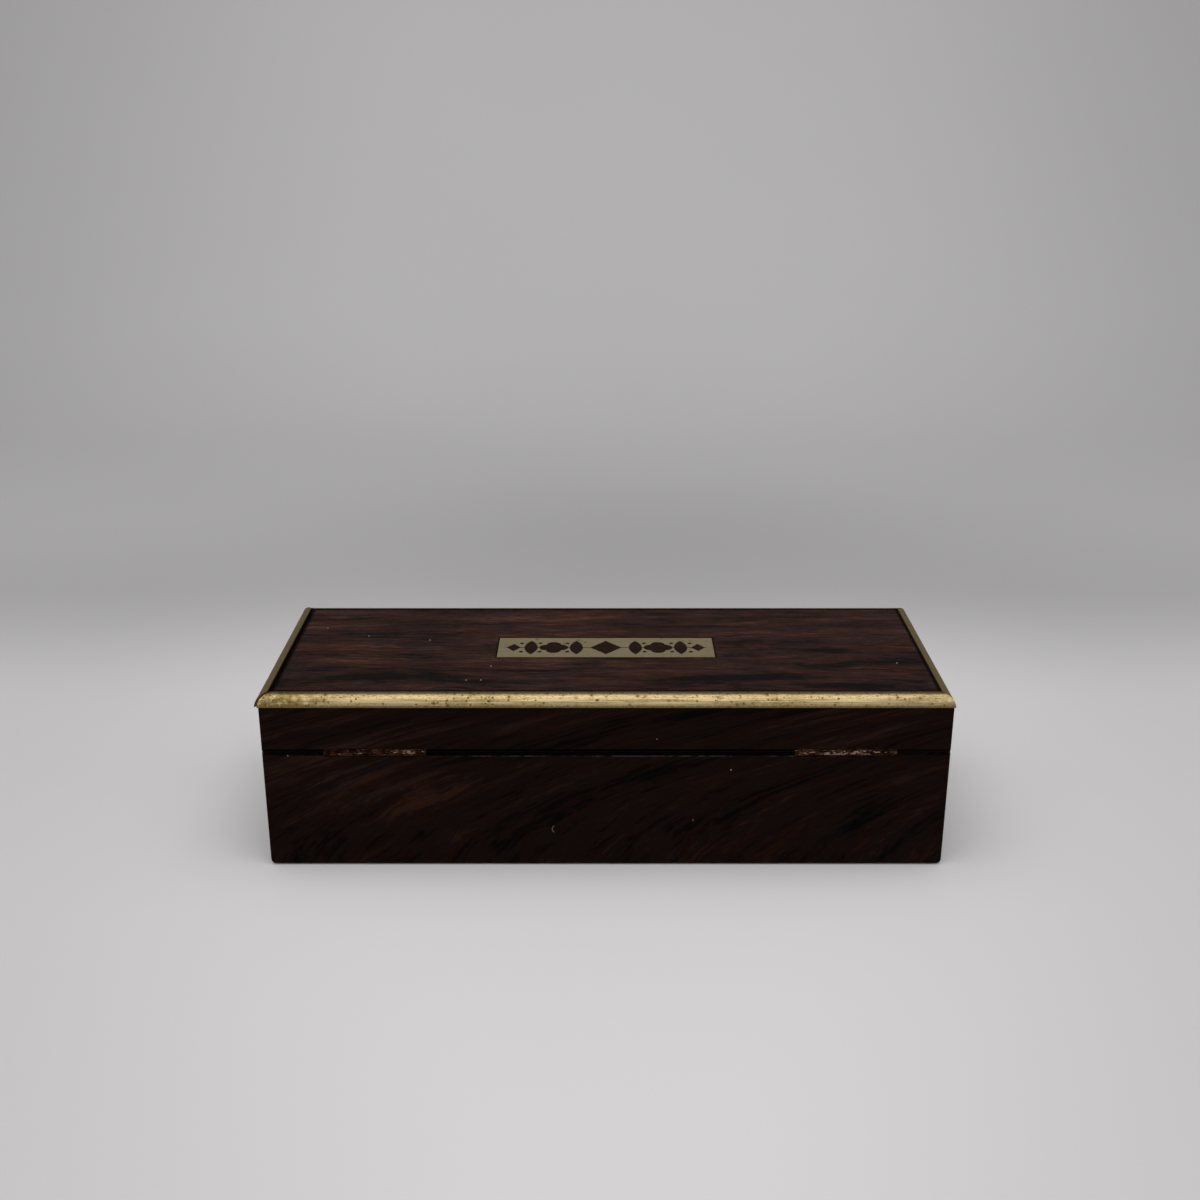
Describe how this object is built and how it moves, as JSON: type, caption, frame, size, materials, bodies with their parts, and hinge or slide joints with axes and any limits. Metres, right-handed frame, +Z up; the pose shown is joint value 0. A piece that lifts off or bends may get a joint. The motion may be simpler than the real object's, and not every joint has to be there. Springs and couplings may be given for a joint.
{
  "type": "hinged glove box with a lock",
  "caption": "Long low hinged wooden box for gloves, veneered, with a rounded brass moulding round the lid, an inlaid brass panel, padded lining, and a box lock with its key.",
  "frame": {"origin": "centre of the underside of the closed box, on the surface it stands on", "axes": "+X to the right for someone who faces the lock, along the box's length; +Y from the lock side (front) to the hinge side (back); +Z up"},
  "size_m": [0.2557, 0.117, 0.0701],
  "materials": {
    "rosewood": "old polished dark rosewood veneer",
    "carcase_wood": "oiled mahogany carcase",
    "bead_brass": "aged and pitted rolled brass",
    "inlay_brass": "dulled sheet brass",
    "hinge_brass": "dark corroded brass",
    "lock_brass": "satin brass",
    "screw_brass": "slotted brass",
    "steel": "filed steel",
    "silk": "faded ruby silk",
    "baize": "worn dark green baize"
  },
  "bodies": {
    "base": {"base_front_board": "carcase_wood", "base_back_board": "carcase_wood", "base_left_board": "carcase_wood", "base_right_board": "carcase_wood", "base_bottom_board": "carcase_wood", "base_front_veneer": "rosewood", "base_back_veneer": "rosewood", "base_left_veneer": "rosewood", "base_right_veneer": "rosewood", "underside_baize": "baize", "base_front_lining": "silk", "base_back_lining": "silk", "base_left_lining": "silk", "base_right_lining": "silk", "floor_pad": "silk", "lock_plate": "lock_brass", "lock_case": "lock_brass", "lock_drill_pin": "steel", "lock_stumps": "steel", "lock_screws": "screw_brass", "escutcheon": "lock_brass", "escutcheon_nails": "screw_brass", "hinge_base_leaf_left": "hinge_brass", "hinge_base_leaf_right": "hinge_brass", "hinge_pin_left": "steel", "hinge_pin_right": "steel", "hinge_base_screws": "screw_brass"},
    "lid": {"lid_front_board": "carcase_wood", "lid_back_board": "carcase_wood", "lid_left_board": "carcase_wood", "lid_right_board": "carcase_wood", "lid_top_board": "carcase_wood", "lid_front_veneer": "rosewood", "lid_back_veneer": "rosewood", "lid_left_veneer": "rosewood", "lid_right_veneer": "rosewood", "lid_top_veneer": "rosewood", "bead_front": "bead_brass", "bead_back": "bead_brass", "bead_left": "bead_brass", "bead_right": "bead_brass", "inlay_plate": "inlay_brass", "inlay_wood": "rosewood", "lid_front_lining": "silk", "lid_back_lining": "silk", "lid_left_lining": "silk", "lid_right_lining": "silk", "lid_pad": "silk", "link_plate": "lock_brass", "link_plate_screws": "screw_brass", "hinge_lid_leaf_left": "hinge_brass", "hinge_lid_leaf_right": "hinge_brass", "hinge_lid_screws": "screw_brass"},
    "bolt": {"lock_bolt": "steel", "lock_spring": "steel"},
    "key": {"key": "steel"}
  },
  "joints": [
    {"name": "lid_hinge", "type": "hinge", "parent": "base", "child": "lid", "pos_m": [0, 0.0463, 0.0471], "axis": [-1, 0, 0], "range_deg": [0, 96]},
    {"name": "key_turn", "type": "hinge", "parent": "base", "child": "key", "pos_m": [0, -0.042, 0.03247], "axis": [0, 1, 0], "range_deg": [0, 90]},
    {"name": "bolt_slide", "type": "slide", "parent": "base", "child": "bolt", "axis": [1, 0, 0], "range_m": [0, 0.0048]}
  ],
  "couplings": [
    {"joint": "key_turn", "follows": "bolt_slide", "rad_per_m": 327.25}
  ]
}
